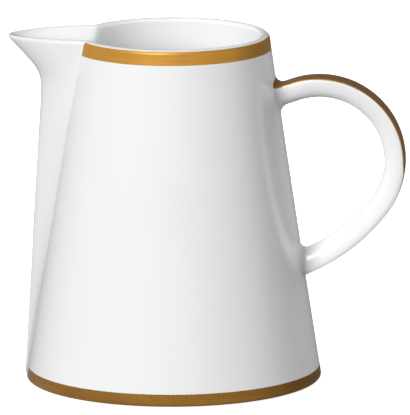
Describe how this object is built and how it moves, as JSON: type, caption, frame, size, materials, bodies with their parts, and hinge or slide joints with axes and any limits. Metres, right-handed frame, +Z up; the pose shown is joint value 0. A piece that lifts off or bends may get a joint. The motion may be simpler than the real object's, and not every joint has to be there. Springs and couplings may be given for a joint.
{
  "type": "cream jug",
  "caption": "Small conical porcelain cream jug with a full-height folded spout, a round ear handle and gilded lines at rim, foot and handle.",
  "frame": {"origin": "on the table plane, midway between the tip of the spout and the outside of the handle and on the plane of symmetry", "axes": "+Z up, +X towards the handle, -X towards the spout; the jug is the same on both sides of y = 0"},
  "size_m": [0.1076, 0.0806, 0.095],
  "materials": {
    "porcelain": "clear gloss glaze",
    "biscuit": "unglazed, ground",
    "gilding": "burnished gold lustre"
  },
  "bodies": {
    "root": {"body_wall": "porcelain", "spout_gusset": "porcelain", "floor_disc": "porcelain", "foot_ring": "biscuit", "handle": "porcelain", "handle_upper_joint": "porcelain", "handle_lower_joint": "porcelain", "rim_gilding": "gilding", "foot_gilding": "gilding", "handle_gilding": "gilding"}
  },
  "joints": []
}
